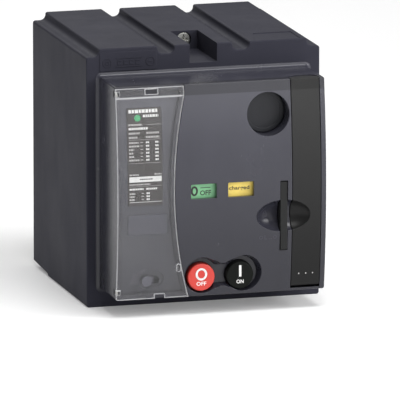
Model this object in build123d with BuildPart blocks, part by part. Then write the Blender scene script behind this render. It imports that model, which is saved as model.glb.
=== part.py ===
from build123d import *

import os
from math import acos, asin, cos, degrees, pi, radians, sin, sqrt, tan

# Spring-charged operating module for a three-pole moulded-case breaker.
# Millimetres. +Z up, front towards -Y, origin at the centre of the rear mounting face.

os.makedirs("parts", exist_ok=True)

# ---------------------------------------------------------------- driving dimensions
wall = 2.6
gap = 0.4  # between neighbouring mouldings
running = 0.05  # radial clearance of a shaft in its bore

# Rear housing
half_width = 70.0
body_depth = 120.0
rib_top = 76.0
ledge_top = 71.3
body_bottom = -76.0
rib_pitch = 45.0
rib_width = 34.8
rear_step = 32.0  # length of the raised rear part of the underside

# Nose
nose_half_width = 62.35
nose_top = 59.9
nose_bottom = -64.6
top_edge_y = -155.8
fold_y = -156.5
fold_z = 53.5
front_bulge = 4.2
nose_mid_z = (fold_z + nose_bottom) / 2
half_chord = (fold_z - nose_bottom) / 2
front_radius = (half_chord**2 + front_bulge**2) / (2 * front_bulge)
front_centre_y = fold_y - front_bulge + front_radius

# Clear cover over the label panel
cover_waist_x = -28.5
cover_waist_z = -1.0
cover_edge_radius = 225.0
cover_skin = 1.5
panel_inset = 4.6
panel_left_x = -59.6
panel_low_z = -61.6
panel_high_z = 56.8
hinge_x = -61.0
hinge_y = -152.5
grip_z = -46.7
notch_x = -41.0

# Front controls
window_x = 11.1
window_z = -2.4
keylock_x, keylock_z, keylock_radius = 28.0, 40.3, 12.7
keylock_floor_y = -147.0
button_x, button_z, button_radius = 11.6, -53.6, 8.1
bowl_left_x, bowl_right_x, bowl_z, bowl_radius = -10.8, 12.9, -52.6, 11.4
bowl_floor_y = -152.6
tab_x, tab_thickness = 36.9, 4.0
tab_high_z, tab_low_z = 0.9, -39.7
tab_front_y, tab_back_y = -160.2, -130.0
scoop_z = -19.4
scoop_length, scoop_radius, scoop_ahead = 17.2, 10.0, 3.4
knob_x, knob_z, knob_radius, knob_travel = -43.6, -54.7, 3.1, 5.8

# Charging lever
lever_x, lever_width = 50.5, 16.8
lever_gap = 0.4
lever_low_z = -62.3
lever_skin = 3.0
lever_depth = 7.5
pivot_y, pivot_z = -152.8, -55.0
pin_radius = 1.5
channel_low_z = -63.2

# Gear train: (module, teeth)
sector_gear = (1.5, 40)
charge_gear = (1.5, 16)
ratchet_spur = (1.25, 18)
middle_spur = (1.25, 48)
motor_spur = (1.25, 12)
middle_pinion = (1.5, 14)
drive_spur = (1.5, 36)
rack_gear = (2.0, 14)
backlash = 0.25
pressure_angle = radians(20)

# Carriage and springs
carriage_low, carriage_high = -40.0, -6.0
carriage_back, carriage_front = -5.0, -19.0
rod_x, rod_y, rod_radius = 28.0, -12.0, 3.0
lower_member_top = -56.0
upper_member_low = 46.0
plate_thickness = 3.0
frame_left_x, frame_right_x, frame_sheet = 0.0, 50.0, 2.0
frame_back_y = -21.0


def pitch_radius(gear):
    module, teeth = gear
    return module * teeth / 2


def along(start, angle, distance):
    """The point (y, z) at a distance and an angle from another, in the side view."""
    return (start[0] + distance * cos(radians(angle)), start[1] + distance * sin(radians(angle)))


sector_angle = 45.0
input_angle = 27.0
motor_angle = 95.5
input_axis = along(
    (pivot_y, pivot_z), sector_angle, pitch_radius(sector_gear) + pitch_radius(charge_gear)
)
middle_axis = along(input_axis, input_angle, pitch_radius(ratchet_spur) + pitch_radius(middle_spur))
motor_axis = along(middle_axis, motor_angle, pitch_radius(middle_spur) + pitch_radius(motor_spur))
drive_distance = pitch_radius(middle_pinion) + pitch_radius(drive_spur)
drive_angle = degrees(asin(-middle_axis[1] / drive_distance))
drive_axis = along(middle_axis, drive_angle, drive_distance)
rack_pitch_y = drive_axis[0] + pitch_radius(rack_gear)
spacer_axes = [(-48.0, 47.0), (-110.0, 46.0), (-48.0, -50.0), (-100.0, -44.0)]
spacer_radius = 3.0


# ---------------------------------------------------------------- shared shapes
def front_y(z, inset=0.0):
    """Y of the nose's bulged front at a height, or of a surface that lies inset behind it."""
    return front_centre_y - sqrt((front_radius - inset) ** 2 - (z - nose_mid_z) ** 2)


def nose_solid(inset, end_inset=0.0, half_length=nose_half_width, back_y=-body_depth):
    """The space behind the nose's front, inset from it, between its top and its bottom."""
    low, high = nose_bottom + end_inset, nose_top - end_inset
    with BuildPart() as solid:
        with BuildSketch(Plane.YZ):
            with BuildLine():
                Polyline(
                    (front_y(low, inset), low),
                    (back_y, low),
                    (back_y, high),
                    (top_edge_y + inset, high),
                    (front_y(fold_z, inset), fold_z),
                )
                ThreePointArc(
                    (front_y(fold_z, inset), fold_z),
                    (front_y(nose_mid_z, inset), nose_mid_z),
                    (front_y(low, inset), low),
                )
            make_face()
        extrude(amount=half_length, both=True)
    return solid.part


def cover_edge_x(z):
    """X of the clear cover's hollow right edge at a height."""
    drop = sqrt(cover_edge_radius**2 - (z - cover_waist_z) ** 2)
    return cover_waist_x + cover_edge_radius - drop


def cover_region(left, shift, low, high):
    """Front view of the clear cover or of its recess. Its right edge, moved by shift, is hollow
    up to the fold and upright above it."""
    with BuildSketch() as region:
        with BuildLine():
            Polyline(
                (cover_edge_x(fold_z) + shift, fold_z),
                (cover_edge_x(fold_z) + shift, high),
                (left, high),
                (left, low),
                (cover_edge_x(low) + shift, low),
            )
            ThreePointArc(
                (cover_edge_x(low) + shift, low),
                (cover_waist_x + shift, cover_waist_z),
                (cover_edge_x(fold_z) + shift, fold_z),
            )
        make_face()
    return region.sketch


def bowl_outline(grow):
    """Front view of the two joined button bowls."""
    with BuildSketch() as outline:
        with Locations((bowl_left_x, bowl_z), (bowl_right_x, bowl_z)):
            Circle(bowl_radius + grow)
        with Locations(((bowl_left_x + bowl_right_x) / 2, bowl_z)):
            Rectangle(bowl_radius, 2 * (bowl_radius - 4.3 + grow))
        waist = outline.vertices().filter_by(
            lambda v: abs(abs(v.Y - bowl_z) - (bowl_radius - 4.3 + grow)) < 0.01
        )
        fillet(waist, 1.5)
    return outline.sketch


def scoop_solid(grow):
    """The rounded hollow that lets fingers reach the padlock tab."""
    centre_y = front_y(scoop_z) - scoop_ahead
    with BuildPart() as scoop:
        with BuildSketch(Plane.XY.offset(scoop_z)):
            with Locations((tab_x - 0.4, centre_y)):
                Ellipse(scoop_length + grow, scoop_radius + grow)
                with Locations((0, -(scoop_radius + grow) / 2)):
                    Rectangle(
                        2 * (scoop_length + grow), scoop_radius + grow, mode=Mode.SUBTRACT
                    )
        revolve(axis=Axis((0, centre_y, scoop_z), (1, 0, 0)), revolution_arc=360)
    return scoop.part


def involute(angle):
    return tan(angle) - angle


def gear_outline(gear, tooth_angle, first=0, last=None):
    """An involute gear's outline with a tooth centred at tooth_angle degrees; first and last
    keep only some of its teeth, as on a sector."""
    module, teeth = gear
    pitch = module * teeth / 2
    base, root, tip = pitch * cos(pressure_angle), pitch - 1.25 * module, pitch + module
    half_tooth = pi / (2 * teeth) - backlash / (2 * pitch)

    def at(radius, angle):
        return (radius * cos(angle), radius * sin(angle))

    def half_angle(radius):
        pressure = acos(min(1.0, base / radius))
        return half_tooth + involute(pressure_angle) - involute(pressure)

    start = max(base, root)
    middle = (start + tip) / 2
    numbers = range(first, teeth if last is None else last + 1)
    with BuildSketch() as outline:
        with BuildLine():
            for number in numbers:
                centre = radians(tooth_angle) + 2 * pi * number / teeth
                foot, top = half_angle(start), half_angle(tip)
                for side in (-1, 1):
                    if root < base:
                        Line(at(root, centre + side * foot), at(base, centre + side * foot))
                    ThreePointArc(
                        at(start, centre + side * foot),
                        at(middle, centre + side * half_angle(middle)),
                        at(tip, centre + side * top),
                    )
                ThreePointArc(at(tip, centre - top), at(tip, centre), at(tip, centre + top))
                following = centre + 2 * pi / teeth
                if last is None or number < last:
                    ThreePointArc(
                        at(root, centre + foot),
                        at(root, (centre + following) / 2),
                        at(root, following - foot),
                    )
            if last is not None:
                low = radians(tooth_angle) + 2 * pi * first / teeth - half_angle(start)
                high = radians(tooth_angle) + 2 * pi * last / teeth + half_angle(start)
                Polyline(at(root, low), (0, 0), at(root, high))
        make_face()
    return outline.sketch


def mesh_angle(first_angle, first_gear, second_gear, centre_angle):
    """Tooth angle of a gear that meshes with another across a line at centre_angle."""
    first_teeth, second_teeth = first_gear[1], second_gear[1]
    lead = (first_angle - centre_angle) * first_teeth / second_teeth
    return centre_angle + 180 - lead + 180 / second_teeth


def save(piece, name):
    piece.part.label = name
    export_step(piece.part, f"parts/{name}.step")


# ---------------------------------------------------------------- rear housing
screw_z = 70.6
pocket_half, pocket_floor, pocket_back = 8.2, 65.0, -78.3
window_half, window_low, window_high = 58.5, -61.0, 56.0
land_x, land_high, land_low, land_radius = 54.0, 51.0, -56.0, 6.0
rib_centres = (-rib_pitch, 0.0, rib_pitch)
plate_corners = [(-62.0, -40.0), (62.0, -40.0), (-62.0, 40.0), (62.0, 40.0)]

with BuildPart() as rear_housing:
    with BuildSketch(Plane.XZ) as section:
        with Locations((0, (ledge_top + body_bottom) / 2)):
            Rectangle(2 * half_width, ledge_top - body_bottom)
        with Locations(*[(x, (rib_top + ledge_top) / 2) for x in rib_centres]):
            Rectangle(rib_width, rib_top - ledge_top)
        corners = section.vertices().group_by(Axis.Y)
        fillet(corners[-1], 1.2)
        shelf = section.vertices().filter_by(lambda v: abs(v.Y - ledge_top) < 0.01).sort_by(Axis.X)
        fillet(shelf[1:-1], 3.4)
        outer = section.vertices().filter_by(lambda v: abs(abs(v.X) - half_width) < 0.01)
        fillet(outer, 1.5)
    extrude(amount=body_depth)
    front_edges = rear_housing.faces().sort_by(Axis.Y)[0].outer_wire().edges()
    chamfer(front_edges, 0.5)
    # Underside, raised at the back
    with BuildSketch(Plane.YZ):
        with BuildLine():
            Polyline(
                (1, body_bottom - 1),
                (-rear_step, body_bottom - 1),
                (-rear_step, body_bottom + 2.0),
                (1, body_bottom + 3.7),
                close=True,
            )
        make_face()
    extrude(amount=half_width + 1, both=True, mode=Mode.SUBTRACT)
    # Hollow, and hollow outer ribs
    hollow_low, hollow_high = -72.0, ledge_top - wall
    with BuildSketch(Plane.XZ):
        with Locations((0, (hollow_low + hollow_high) / 2)):
            Rectangle(2 * (half_width - wall), hollow_high - hollow_low)
        with Locations(*[(x, hollow_high + 2.2) for x in (-rib_pitch, rib_pitch)]):
            Rectangle(rib_width - 2 * wall, 4.4)
    extrude(amount=body_depth - wall, mode=Mode.SUBTRACT)
    # Lugs that the base plate is screwed to
    with BuildSketch(Plane.XZ.offset(plate_thickness)):
        for x, z in plate_corners:
            with Locations((x + (0.9 if x > 0 else -0.9), z)):
                Rectangle(10.2, 9.0)
        with Locations(*plate_corners):
            Circle(1.5, mode=Mode.SUBTRACT)
    extrude(amount=12)
    # Window for the nose, with lands for its screws
    with BuildSketch(Plane.XZ):
        with Locations((0, (window_low + window_high) / 2)):
            Rectangle(2 * window_half, window_high - window_low)
        with Locations(
            (-land_x, land_high), (land_x, land_high), (-land_x, land_low), (land_x, land_low)
        ):
            Circle(land_radius, mode=Mode.SUBTRACT)
            Circle(1.8)
    extrude(amount=body_depth + 1, mode=Mode.SUBTRACT)
    # Pocket of the top fixing screw
    with BuildSketch(Plane.XZ.offset(-pocket_back - wall)):
        with Locations((0, (pocket_floor - wall + 70.0) / 2)):
            Rectangle(2 * (pocket_half + wall), 70.0 - pocket_floor + wall)
    extrude(amount=body_depth - wall + pocket_back + wall)
    with BuildSketch(Plane.XZ):
        with Locations((0, screw_z)):
            Circle(5.3)
    extrude(amount=-pocket_back - wall)
    with BuildSketch(Plane.XZ.offset(-pocket_back)):
        with Locations((0, (pocket_floor + rib_top + 2) / 2)):
            Rectangle(2 * pocket_half, rib_top + 2 - pocket_floor)
    extrude(amount=body_depth + pocket_back + 1, mode=Mode.SUBTRACT)
    with BuildSketch(Plane.XZ):
        with Locations((0, screw_z)):
            Circle(2.7)
    extrude(amount=-pocket_back + 1, mode=Mode.SUBTRACT)
    with BuildSketch(Plane.XZ.offset(-pocket_back - 5)):
        with Locations((0, screw_z)):
            Circle(4.5)
    extrude(amount=6, mode=Mode.SUBTRACT)
    # Raised pad for a marking on the left rib's front, shallow bed on the right rib's top
    with BuildSketch(Plane.XZ.offset(body_depth)):
        with Locations((-rib_pitch, 68.2)):
            RectangleRounded(rib_width - 1.0, 11.0, 0.8)
    extrude(amount=0.4)
    with BuildSketch(Plane.XY.offset(rib_top)):
        with BuildLine():
            Polyline((31, -118), (36.5, -97), (59, -97), (59, -118), close=True)
        make_face()
    extrude(amount=-0.4, mode=Mode.SUBTRACT)
save(rear_housing, "rear_housing")

# Long screw that holds the module to the breaker's front
with BuildPart() as top_fixing_screw:
    with BuildSketch(Plane.XZ.offset(3)):
        with Locations((0, screw_z)):
            Circle(2.5)
    extrude(amount=-pocket_back - 3 - 4)
    with BuildSketch(Plane.XZ.offset(-pocket_back - 4.9)):
        with Locations((0, screw_z)):
            Circle(4.2)
    extrude(amount=4.2)
    fillet(top_fixing_screw.edges().group_by(Axis.Y)[0], 0.5)
    with BuildSketch(Plane.XZ.offset(-pocket_back - 0.7)):
        with Locations((0, screw_z)):
            Rectangle(5.6, 1.1)
            Rectangle(1.1, 5.6)
    extrude(amount=-1.8, mode=Mode.SUBTRACT)
save(top_fixing_screw, "top_fixing_screw")

# ---------------------------------------------------------------- base plate
bolt_x, bolt_z, bolt_radius = 58.0, 64.0, 2.75
with BuildPart() as base_plate:
    with BuildSketch(Plane.XZ):
        with Locations((0, (-71.6 + 68.3) / 2)):
            RectangleRounded(2 * 66.9, 71.6 + 68.3, 2.0)
        RectangleRounded(44.0, 92.0, 3.0, mode=Mode.SUBTRACT)
        with GridLocations(2 * bolt_x, 2 * bolt_z, 2, 2):
            Circle(bolt_radius, mode=Mode.SUBTRACT)
        with Locations(*plate_corners):
            Circle(1.8, mode=Mode.SUBTRACT)
        with Locations((0, screw_z)):
            Circle(6.4, mode=Mode.SUBTRACT)
    extrude(amount=plate_thickness)
save(base_plate, "base_plate")

with BuildPart() as plate_screws:
    for x, z in plate_corners:
        with BuildSketch(Plane.XZ.offset(0.8)):
            with Locations((x, z)):
                Circle(1.5)
        extrude(amount=10)
save(plate_screws, "plate_screws")

# ---------------------------------------------------------------- front cover
flare = 2.2
flange = 0.25
corner_radius = 1.2
with BuildPart() as nose_block:
    add(nose_solid(0))
    fillet(nose_block.edges().filter_by(Axis.Y), corner_radius)
nose_full = nose_block.part
nose_inner = nose_solid(wall, wall, nose_half_width - wall, back_y=-body_depth + 8)
behind_seat = nose_solid(cover_skin + 0.5, -2, nose_half_width + 5)
behind_panel = nose_solid(panel_inset, -2, nose_half_width + 5)
behind_panel_back = nose_solid(panel_inset + 2.4, -2, nose_half_width + 5)
seat_region = cover_region(-nose_half_width - 4, gap, nose_bottom - 3, nose_top + 3)
panel_region = cover_region(panel_left_x, -2.0, panel_low_z, panel_high_z)
panel_back_region = cover_region(-nose_half_width, 1.0, nose_bottom, nose_top)
slot_left, slot_right = lever_x - lever_width / 2 - lever_gap, lever_x + lever_width / 2 + lever_gap
bowl_back = bowl_outline(2.2)
scoop_cut = scoop_solid(0)
scoop_back = scoop_solid(2.3)
finger_back_y = -144.8

with BuildPart() as seat_cut:
    with BuildSketch(Plane.XZ.offset(145)):
        add(seat_region)
    extrude(amount=20)
    add(behind_seat, mode=Mode.SUBTRACT)

with BuildPart() as panel_cut:
    with BuildSketch(Plane.XZ.offset(145)):
        add(panel_region)
    extrude(amount=20)
    add(behind_panel, mode=Mode.SUBTRACT)

with BuildPart() as panel_backing:
    with BuildSketch(Plane.XZ.offset(145)):
        add(panel_back_region)
    extrude(amount=20)
    add(behind_panel_back, mode=Mode.SUBTRACT)

with BuildPart() as finger_pocket:
    # Hollow behind the lever's top, and the D-shaped way for the lever's top itself
    with BuildSketch(Plane.XY.offset(50.5)):
        with BuildLine():
            Polyline((slot_right, -149.0), (slot_right, -165.0), (slot_left, -165.0), (slot_left, -149.0))
            ThreePointArc((slot_left, -149.0), (lever_x, finger_back_y), (slot_right, -149.0))
        make_face()
    extrude(amount=15)

with BuildPart() as nose_hollow:
    add(nose_inner)
    add(panel_backing.part, mode=Mode.SUBTRACT)
    # Keylock tube
    with BuildSketch(Plane.XZ.offset(-keylock_floor_y - 2.2)):
        with Locations((keylock_x, keylock_z)):
            Circle(keylock_radius + 2.0)
    extrude(amount=15, mode=Mode.SUBTRACT)
    # Bowl walls
    with BuildSketch(Plane.XZ.offset(-bowl_floor_y - 2.4)):
        add(bowl_back)
    extrude(amount=15, mode=Mode.SUBTRACT)
    add(scoop_back, mode=Mode.SUBTRACT)
    # Lever channel wall and padlock tab guides
    with BuildSketch(Plane.XY.offset(nose_bottom)):
        with Locations(((39.3 + slot_left) / 2, -151.5)):
            Rectangle(slot_left - 39.3, 17.0)
    extrude(amount=nose_top - nose_bottom, mode=Mode.SUBTRACT)
    with BuildSketch(Plane.XY.offset(tab_low_z - 3)):
        with Locations((36.9, -151.5)):
            Rectangle(9.4, 17.0)
    extrude(amount=tab_high_z - tab_low_z + 6, mode=Mode.SUBTRACT)
    # Floor and back of the finger pocket
    with BuildSketch(Plane.XY.offset(48.0)):
        with Locations((lever_x, -145.4)):
            Rectangle(2 * (lever_x - 39.3), 6.0)
    extrude(amount=12, mode=Mode.SUBTRACT)
    with BuildSketch(Plane.XY.offset(50.5)):
        with Locations((lever_x, -147.4)):
            Rectangle(2 * (lever_x - 39.3), 10.0)
    extrude(amount=10, mode=Mode.SUBTRACT)
    # Posts for the cover screws
    with BuildSketch(Plane.XZ.offset(body_depth)):
        with Locations((-55.4, 52.8), (55.4, 52.8), (-55.4, -57.2), (55.4, -57.2)):
            Rectangle(11.0, 11.0)
    extrude(amount=20, mode=Mode.SUBTRACT)

with BuildPart() as front_cover:
    add(nose_full)
    # Flange that flares out against the body
    with BuildSketch(Plane.XZ.offset(body_depth)):
        with Locations((0, (nose_top + nose_bottom) / 2)):
            RectangleRounded(
                2 * (nose_half_width + flare),
                nose_top - nose_bottom + 2 * flare,
                flare + corner_radius,
            )
    extrude(amount=flange)
    root_edges = front_cover.edges().filter_by(
        lambda e: abs(e.center().Y + body_depth + flange) < 0.01
        and abs(e.center().X) < nose_half_width + 0.1
        and nose_bottom - 0.1 < e.center().Z < nose_top + 0.1
    )
    fillet(root_edges, flare - 0.2)
    side_edges = front_cover.edges().filter_by(
        lambda e: abs(abs(e.center().X) - nose_half_width) < 0.01 and e.center().Y < -155.9
    )
    fillet(side_edges, 0.7)
    add(nose_hollow.part, mode=Mode.SUBTRACT)
    add(seat_cut.part, mode=Mode.SUBTRACT)
    add(panel_cut.part, mode=Mode.SUBTRACT)
    # Room for the clear cover's hinge knuckles
    for low, high in ((54.0, 57.3), (-62.0, -58.4)):
        with BuildSketch(Plane.XY.offset(low)):
            with Locations((-60.8, -153.4)):
                Rectangle(3.6, 5.4)
        extrude(amount=high - low, mode=Mode.SUBTRACT)
    # Bores of the hinge pins
    with BuildSketch(Plane.XY.offset(-64.0)):
        with Locations((hinge_x, hinge_y)):
            Circle(0.7)
    extrude(amount=59.3 + 64.0, mode=Mode.SUBTRACT)
    # Flag windows
    with BuildSketch(Plane.XZ.offset(152)):
        with Locations((-window_x, window_z), (window_x, window_z)):
            RectangleRounded(15.4, 8.6, 0.6)
    extrude(amount=12, mode=Mode.SUBTRACT)
    # Keylock recess
    with BuildSketch(Plane.XZ.offset(-keylock_floor_y)):
        with Locations((keylock_x, keylock_z)):
            Circle(keylock_radius)
    extrude(amount=20, mode=Mode.SUBTRACT)
    # Button bowls and holes
    with BuildSketch(Plane.XZ.offset(-bowl_floor_y)):
        add(bowl_outline(-1.9))
    extrude(amount=12, taper=-18, mode=Mode.SUBTRACT)
    with BuildSketch(Plane.XZ.offset(140)):
        with Locations((-button_x, button_z), (button_x, button_z)):
            Circle(button_radius + 0.3)
    extrude(amount=22, mode=Mode.SUBTRACT)
    # Padlock scoop and tab slot
    add(scoop_cut, mode=Mode.SUBTRACT)
    with BuildSketch(Plane.XZ.offset(130)):
        with Locations((tab_x, (tab_high_z + tab_low_z) / 2)):
            Rectangle(tab_thickness + 0.6, tab_high_z - tab_low_z + 0.6)
    extrude(amount=35, mode=Mode.SUBTRACT)
    # Lever slot
    with BuildSketch(Plane.XZ.offset(-pivot_y - 12)):
        with Locations((lever_x, (channel_low_z + 50.5) / 2)):
            Rectangle(slot_right - slot_left, 50.5 - channel_low_z)
    extrude(amount=25, mode=Mode.SUBTRACT)
    with BuildSketch(Plane.XZ.offset(-pivot_y - 4.4)):
        with Locations((lever_x, 49.0)):
            Rectangle(slot_right - slot_left, 6.0)
    extrude(amount=20, mode=Mode.SUBTRACT)
    add(finger_pocket.part, mode=Mode.SUBTRACT)
    with BuildSketch(Plane.YZ.offset(39.0)):
        with Locations((pivot_y, pivot_z)):
            Circle(pin_radius)
    extrude(amount=22.2, mode=Mode.SUBTRACT)
    # Screw holes in the posts
    with BuildSketch(Plane.XZ.offset(body_depth - 2)):
        with Locations(
            (-land_x, land_high), (land_x, land_high), (-land_x, land_low), (land_x, land_low)
        ):
            Circle(1.5)
    extrude(amount=16, mode=Mode.SUBTRACT)
    # Slot of the mode switch, with two round ends sunk in the panel
    with BuildSketch(Plane.XZ.offset(140)):
        with Locations((knob_x + knob_travel / 2, knob_z)):
            SlotCenterToCenter(knob_travel, 2 * 2.4)
    extrude(amount=20, mode=Mode.SUBTRACT)
    with BuildSketch(Plane.XZ.offset(-front_y(knob_z, panel_inset + 1.0))):
        with Locations((knob_x, knob_z), (knob_x + knob_travel, knob_z + 1.0)):
            Circle(4.5)
        with Locations((knob_x + knob_travel / 2, knob_z)):
            SlotCenterToCenter(knob_travel, 2 * knob_radius + 0.6)
    extrude(amount=5, mode=Mode.SUBTRACT)
save(front_cover, "front_cover")

with BuildPart() as cover_screws:
    for x, z in ((-land_x, land_high), (land_x, land_high), (-land_x, land_low), (land_x, land_low)):
        with BuildSketch(Plane.XZ.offset(body_depth - wall - 2.2)):
            with Locations((x, z)):
                Circle(3.2)
        extrude(amount=2.2)
        with BuildSketch(Plane.XZ.offset(body_depth - wall)):
            with Locations((x, z)):
                Circle(1.5)
        extrude(amount=14)
save(cover_screws, "cover_screws")

# ---------------------------------------------------------------- clear cover
with BuildPart() as clear_cover:
    with BuildSketch(Plane.XZ.offset(145)):
        add(cover_region(-nose_half_width, 0.0, nose_bottom, nose_top - 0.9))
    extrude(amount=20)
    add(nose_full, mode=Mode.INTERSECT)
    add(nose_solid(cover_skin, -2, nose_half_width + 5), mode=Mode.SUBTRACT)
    # Finger grip on the free edge
    with BuildSketch(Plane.XZ.offset(-front_y(grip_z, 1.2))):
        with Locations((cover_edge_x(grip_z) - 2.0, grip_z)):
            RectangleRounded(2.4, 4.4, 0.8)
    extrude(amount=2.0)
    # Snap openings in the top band and at the bottom
    with BuildSketch(Plane.XZ.offset(145)):
        with Locations((notch_x, 56.7)):
            Rectangle(7.4, 3.0)
        with Locations((notch_x + 4.6, -63.4)):
            Rectangle(6.0, 2.6)
    extrude(amount=20, mode=Mode.SUBTRACT)
    # Knuckles
    for low, high in ((54.3, 57.1), (-61.7, -58.7)):
        with BuildSketch(Plane.XY.offset(low)):
            with Locations((hinge_x, hinge_y)):
                Circle(1.3)
            with Locations((hinge_x, hinge_y - 1.6)):
                Rectangle(2.6, 3.2)
        extrude(amount=high - low)
    with BuildSketch(Plane.XY.offset(-64.0)):
        with Locations((hinge_x, hinge_y)):
            Circle(0.7 + running)
    extrude(amount=122, mode=Mode.SUBTRACT)
save(clear_cover, "clear_cover")

with BuildPart() as cover_hinge_pins:
    for low, high in ((53.0, 59.2), (-63.9, -57.5)):
        with BuildSketch(Plane.XY.offset(low)):
            with Locations((hinge_x, hinge_y)):
                Circle(0.7)
        extrude(amount=high - low)
save(cover_hinge_pins, "cover_hinge_pins")

# ---------------------------------------------------------------- plates under the cover
panel_face = nose_solid(panel_inset, -2, nose_half_width + 5)


def panel_plate(name, left, right, low, high, thickness):
    """A thin plate that lies on the bulged panel."""
    with BuildPart() as plate:
        with BuildSketch(Plane.XZ.offset(145)):
            with Locations(((left + right) / 2, (low + high) / 2)):
                RectangleRounded(right - left, high - low, 0.8)
        extrude(amount=20)
        add(nose_solid(panel_inset - thickness, -2, nose_half_width + 5), mode=Mode.INTERSECT)
        add(panel_face, mode=Mode.SUBTRACT)
    save(plate, name)


panel_plate("rating_label", -55.2, -34.6, -9.7, 47.0, 0.5)
panel_plate("counter_blank", -55.2, -32.0, -26.7, -15.3, 0.7)

# ---------------------------------------------------------------- mode switch
slider_front_y = front_y(knob_z, panel_inset + 2.4) + 1.2
switch_x = -39.6
with BuildPart() as mode_knob:
    with BuildSketch(Plane.XZ.offset(-slider_front_y - 1.4)):
        with Locations((knob_x - 0.6, knob_z)):
            RectangleRounded(12.0, 9.0, 1.0)
    extrude(amount=1.4)
    with BuildSketch(Plane.XZ.offset(-slider_front_y)):
        with Locations((knob_x, knob_z)):
            Circle(2.1)
    extrude(amount=slider_front_y - front_y(knob_z, panel_inset + 0.6))
    with BuildSketch(Plane.XZ.offset(-front_y(knob_z, panel_inset + 0.6))):
        with Locations((knob_x, knob_z)):
            Circle(knob_radius)
    extrude(amount=2.0)
    fillet(mode_knob.edges().group_by(Axis.Y)[0], 0.4)
    with BuildSketch(Plane.XZ.offset(-slider_front_y - 1.4 - 4.0)):
        with Locations((knob_x - 2.2, knob_z)):
            Rectangle(2.4, 3.0)
    extrude(amount=4.0)
save(mode_knob, "mode_knob")

with BuildPart() as mode_switch:
    with BuildSketch(Plane.XZ.offset(-slider_front_y - 1.4 - 14.0)):
        with Locations((switch_x, knob_z + 0.5)):
            Rectangle(19.6, 11.0)
    extrude(amount=9.6)
    with BuildSketch(Plane.XZ.offset(-slider_front_y - 1.4 - 8.0)):
        with Locations((knob_x + knob_travel / 2 - 2.2, knob_z)):
            Rectangle(knob_travel + 3.0, 3.8)
    extrude(amount=6.0, mode=Mode.SUBTRACT)
    for side in (-1, 1):
        with BuildSketch(Plane.XZ.offset(-slider_front_y - 1.4 - 14.0)):
            with Locations((switch_x + side * 8.8, knob_z)):
                Rectangle(2.0, 7.0)
        extrude(amount=13.0)
save(mode_switch, "mode_switch")

# ---------------------------------------------------------------- keylock blank
with BuildPart() as keylock_blank:
    with BuildSketch(Plane.XZ.offset(-keylock_floor_y)):
        with Locations((keylock_x, keylock_z)):
            Circle(keylock_radius - 0.3)
    extrude(amount=1.6)
    fillet(keylock_blank.edges().group_by(Axis.Y)[0], 0.5)
    with BuildSketch(Plane.XZ.offset(-keylock_floor_y + 1.2)):
        with Locations((keylock_x, keylock_z)):
            Circle(keylock_radius - 2.6)
    extrude(amount=1.0, mode=Mode.SUBTRACT)
save(keylock_blank, "keylock_blank")

# ---------------------------------------------------------------- buttons
button_face_y = front_y(button_z) + 1.1
flange_front_y = bowl_floor_y + 2.4 + 0.3
bracket_front_y = -138.5
plunger_back_y = -137.2


def make_button(name, x):
    """A push button with a retaining flange behind the bowl and a plunger that reaches back."""
    with BuildPart() as button:
        with BuildSketch(Plane.XZ.offset(-flange_front_y)):
            with Locations((x, button_z)):
                Circle(button_radius)
        extrude(amount=flange_front_y - button_face_y)
        fillet(button.edges().group_by(Axis.Y)[0], 0.9)
        with BuildSketch(Plane.XZ.offset(-flange_front_y - 1.4)):
            with Locations((x, button_z)):
                Circle(button_radius + 1.1)
                Rectangle(2 * button_radius + 4, 2 * button_radius - 0.4, mode=Mode.INTERSECT)
        extrude(amount=1.4)
        with BuildSketch(Plane.XZ.offset(-plunger_back_y)):
            with Locations((x, button_z)):
                Circle(2.2)
        extrude(amount=plunger_back_y - flange_front_y - 1.4)
        with BuildSketch(Plane.XZ.offset(-button_face_y - 0.4)):
            if x < 0:
                with Locations((x, button_z + 1.5)):
                    Ellipse(3.45, 3.65)
                    Ellipse(2.2, 2.4, mode=Mode.SUBTRACT)
            else:
                with Locations((x, button_z + 2.2)):
                    Rectangle(1.36, 6.6)
        extrude(amount=2.0, mode=Mode.SUBTRACT)
    save(button, name)


make_button("off_button", -button_x)
make_button("on_button", button_x)


with BuildPart() as button_bracket:
    with BuildSketch(Plane.XZ.offset(-bracket_front_y - 2.0)):
        with Locations((0, button_z)):
            Rectangle(44.0, 16.0)
        with Locations((-button_x, button_z), (button_x, button_z)):
            Circle(2.6, mode=Mode.SUBTRACT)
    extrude(amount=2.0)
    with BuildSketch(Plane.XZ.offset(122)):
        with Locations((-21.2, button_z), (21.2, button_z)):
            Rectangle(1.6, 16.0)
    extrude(amount=-bracket_front_y - 122)
save(button_bracket, "button_bracket")

with BuildPart() as microswitches:
    for side in (-1, 1):
        with BuildSketch(Plane.XZ.offset(122)):
            with Locations((side * 12.2, button_z)):
                RectangleRounded(16.0, 10.0, 0.6)
        extrude(amount=10.4)
        with BuildSketch(Plane.XZ.offset(132.4)):
            with Locations((side * button_x, button_z)):
                Circle(1.2)
        extrude(amount=0.5)
        for offset in (-5.0, 0.0, 5.0):
            with BuildSketch(Plane.XZ.offset(117)):
                with Locations((side * 12.2 + offset, button_z)):
                    Rectangle(2.4, 0.6)
            extrude(amount=5.0)
save(microswitches, "microswitches")


def coil_spring(name, places, direction, length, radius, wire_radius, turns):
    """Open coil springs of one size, each standing on a point and wound along direction."""
    pitch = (length - 2 * wire_radius - 0.3) / turns
    with BuildPart() as springs:
        for place in places:
            start = Vector(*place) + Vector(*direction) * (wire_radius + 0.15)
            with BuildLine() as path:
                Helix(
                    pitch=pitch,
                    height=pitch * turns,
                    radius=radius,
                    center=start,
                    direction=direction,
                )
            with BuildSketch(Plane(origin=path.line @ 0, z_dir=path.line % 0)):
                Circle(wire_radius)
            sweep(is_frenet=True)
    save(springs, name)


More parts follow.
